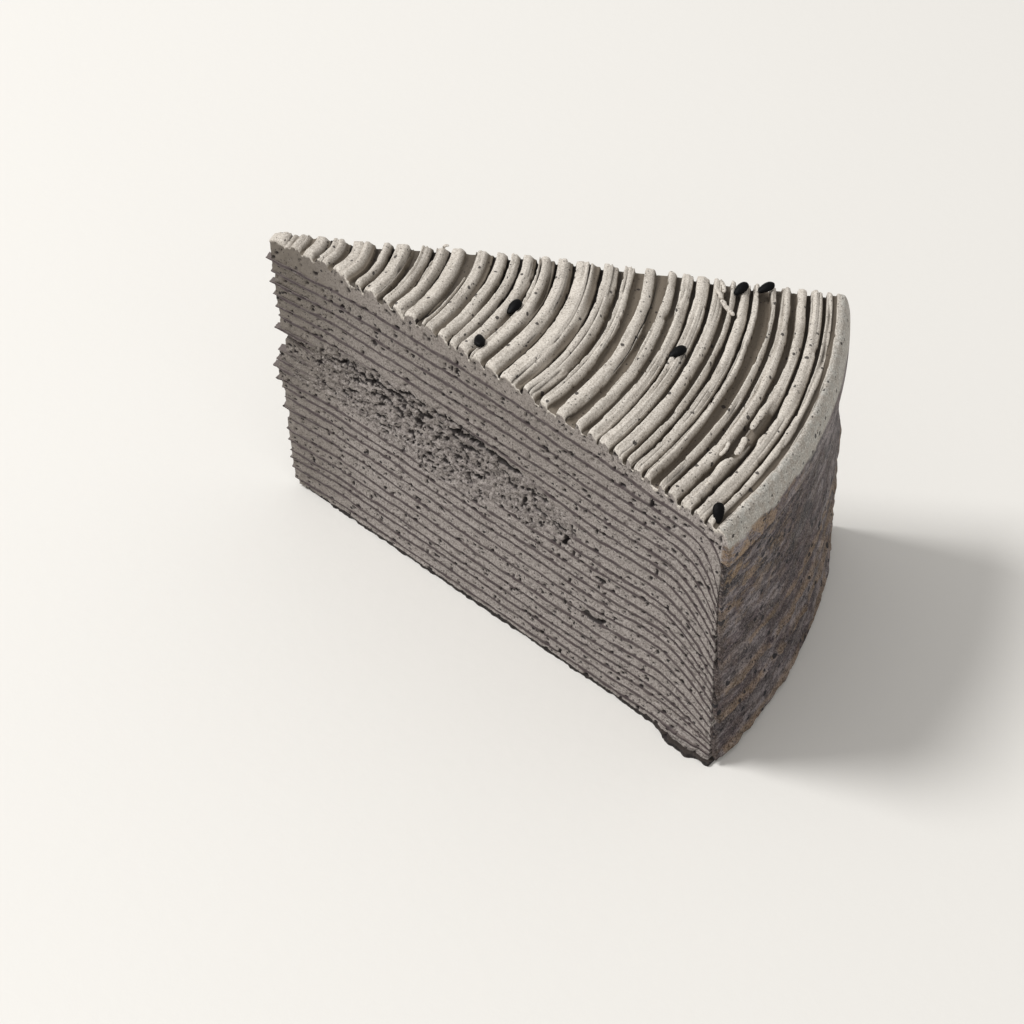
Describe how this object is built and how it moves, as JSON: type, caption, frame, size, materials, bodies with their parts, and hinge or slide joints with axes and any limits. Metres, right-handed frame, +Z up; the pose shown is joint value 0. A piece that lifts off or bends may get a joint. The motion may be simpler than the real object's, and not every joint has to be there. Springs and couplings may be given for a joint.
{
  "type": "black sesame crepe cake slice",
  "caption": "Wedge of black sesame crepe cake: thin crepes with cream between, bent down at the rim, under combed cream with sesame seeds.",
  "frame": {"origin": "middle of the underside of the slice's bounding box, on the surface that it stands on", "axes": "+X from the tip to the rim along the slice's middle, +Y towards the back cut, +Z up"},
  "size_m": [0.1068, 0.0652, 0.0619],
  "materials": {
    "crepe": "thin moist sesame crepe, browned where it faces out",
    "bottom_crepe": "dark soaked crepe",
    "layer_cream": "whipped sesame cream with dark specks",
    "top_cream": "combed whipped sesame cream with dark specks",
    "sesame_seed": "black seed skin, slightly glossy"
  },
  "bodies": {
    "root": {"crepe_01": "bottom_crepe", "crepe_02": "crepe", "crepe_03": "crepe", "crepe_04": "crepe", "crepe_05": "crepe", "crepe_06": "crepe", "crepe_07": "crepe", "crepe_08": "crepe", "crepe_09": "crepe", "crepe_10": "crepe", "crepe_11": "crepe", "crepe_12": "crepe", "crepe_13": "crepe", "crepe_14": "crepe", "crepe_15": "crepe", "crepe_16": "crepe", "crepe_17": "crepe", "crepe_18": "crepe", "crepe_19": "crepe", "crepe_20": "crepe", "crepe_21": "crepe", "crepe_22": "crepe", "crepe_23": "crepe", "cream_01": "layer_cream", "cream_02": "layer_cream", "cream_03": "layer_cream", "cream_04": "layer_cream", "cream_05": "layer_cream", "cream_06": "layer_cream", "cream_07": "layer_cream", "cream_08": "layer_cream", "cream_09": "layer_cream", "cream_10": "layer_cream", "cream_11": "layer_cream", "cream_12": "layer_cream", "cream_13": "layer_cream", "cream_14": "layer_cream", "cream_15": "layer_cream", "cream_16": "layer_cream", "cream_17": "layer_cream", "cream_18": "layer_cream", "cream_19": "layer_cream", "cream_20": "layer_cream", "cream_21": "layer_cream", "cream_22": "layer_cream", "top_cream": "top_cream"}
  },
  "joints": []
}
